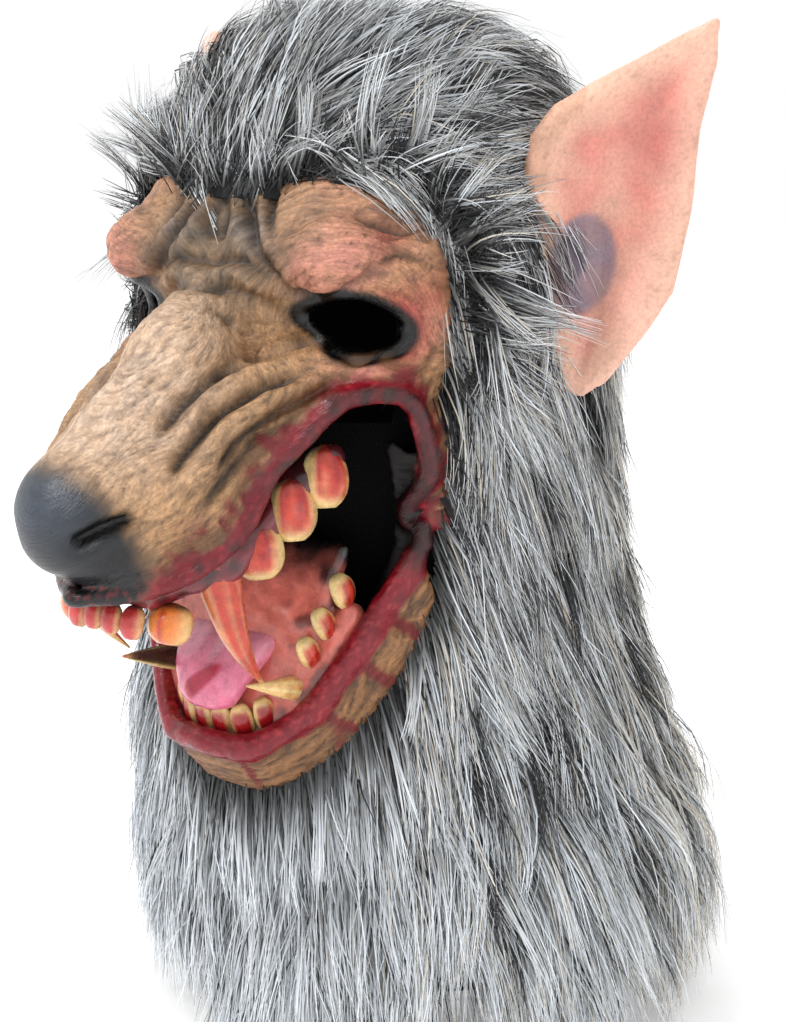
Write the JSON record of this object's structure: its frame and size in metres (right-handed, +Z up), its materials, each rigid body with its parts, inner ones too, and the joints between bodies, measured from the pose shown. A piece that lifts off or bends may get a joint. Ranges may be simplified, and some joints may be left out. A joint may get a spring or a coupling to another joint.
{
  "type": "full-head latex wolf mask",
  "caption": "Full-head latex wolf mask: hollow muzzle with fangs, hinging lower jaw and tongue, cupped ears, long grey fur hood and skirt, open at the neck.",
  "frame": {"origin": "on the centre line of the wearer's head, in the plane of the neck rim of the latex shell", "axes": "+Z up along the head, the face looks towards -Y, +X is the wearer's left"},
  "size_m": [0.2811, 0.3503, 0.424],
  "materials": {
    "black_latex": "satin",
    "face_latex": "satin",
    "ear_latex": "satin",
    "gum": "gloss",
    "tongue": "gloss",
    "front_teeth": "gloss",
    "fangs": "gloss",
    "back_teeth": "gloss",
    "screen": "matte",
    "foam": "matte",
    "fur": "matte"
  },
  "bodies": {
    "head": {"cowl": "black_latex", "face": "face_latex", "throat_screen": "screen", "upper_gum": "gum", "upper_incisors": "front_teeth", "upper_canine_left": "fangs", "upper_canine_right": "fangs", "upper_cheek_teeth_left": "back_teeth", "upper_cheek_teeth_right": "back_teeth", "brow_pad": "foam", "crown_pad": "foam", "nape_pad": "foam", "chin_pad": "foam", "fur_crown": "fur", "fur_left": "fur", "fur_right": "fur", "fur_back": "fur", "fur_bib": "fur"},
    "jaw": {"jaw": "face_latex", "lower_gum": "gum", "lower_incisors": "front_teeth", "lower_canine_left": "fangs", "lower_canine_right": "fangs", "lower_cheek_teeth_left": "back_teeth", "lower_cheek_teeth_right": "back_teeth", "beard": "fur"},
    "tongue": {"tongue": "tongue"},
    "ear_left": {"ear_left": "ear_latex"},
    "ear_right": {"ear_right": "ear_latex"}
  },
  "joints": [
    {"name": "jaw_hinge", "type": "hinge", "parent": "head", "child": "jaw", "pos_m": [0, -0.04, 0.105], "axis": [1, 0, 0], "range_deg": [-6, 5], "stiffness_Nm_per_rad": 6, "springref_deg": -0.57},
    {"name": "tongue_flex", "type": "hinge", "parent": "jaw", "child": "tongue", "pos_m": [0, -0.066, 0.048], "axis": [1, 0, 0], "range_deg": [-6, 6], "stiffness_Nm_per_rad": 0.6},
    {"name": "ear_left_flex", "type": "hinge", "parent": "head", "child": "ear_left", "pos_m": [0.093, 0.005, 0.188], "axis": [0.1498, 0, 0.9887], "range_deg": [-10, 10], "stiffness_Nm_per_rad": 0.6},
    {"name": "ear_right_flex", "type": "hinge", "parent": "head", "child": "ear_right", "pos_m": [-0.093, 0.005, 0.188], "axis": [-0.1498, 0, 0.9887], "range_deg": [-10, 10], "stiffness_Nm_per_rad": 0.6}
  ]
}
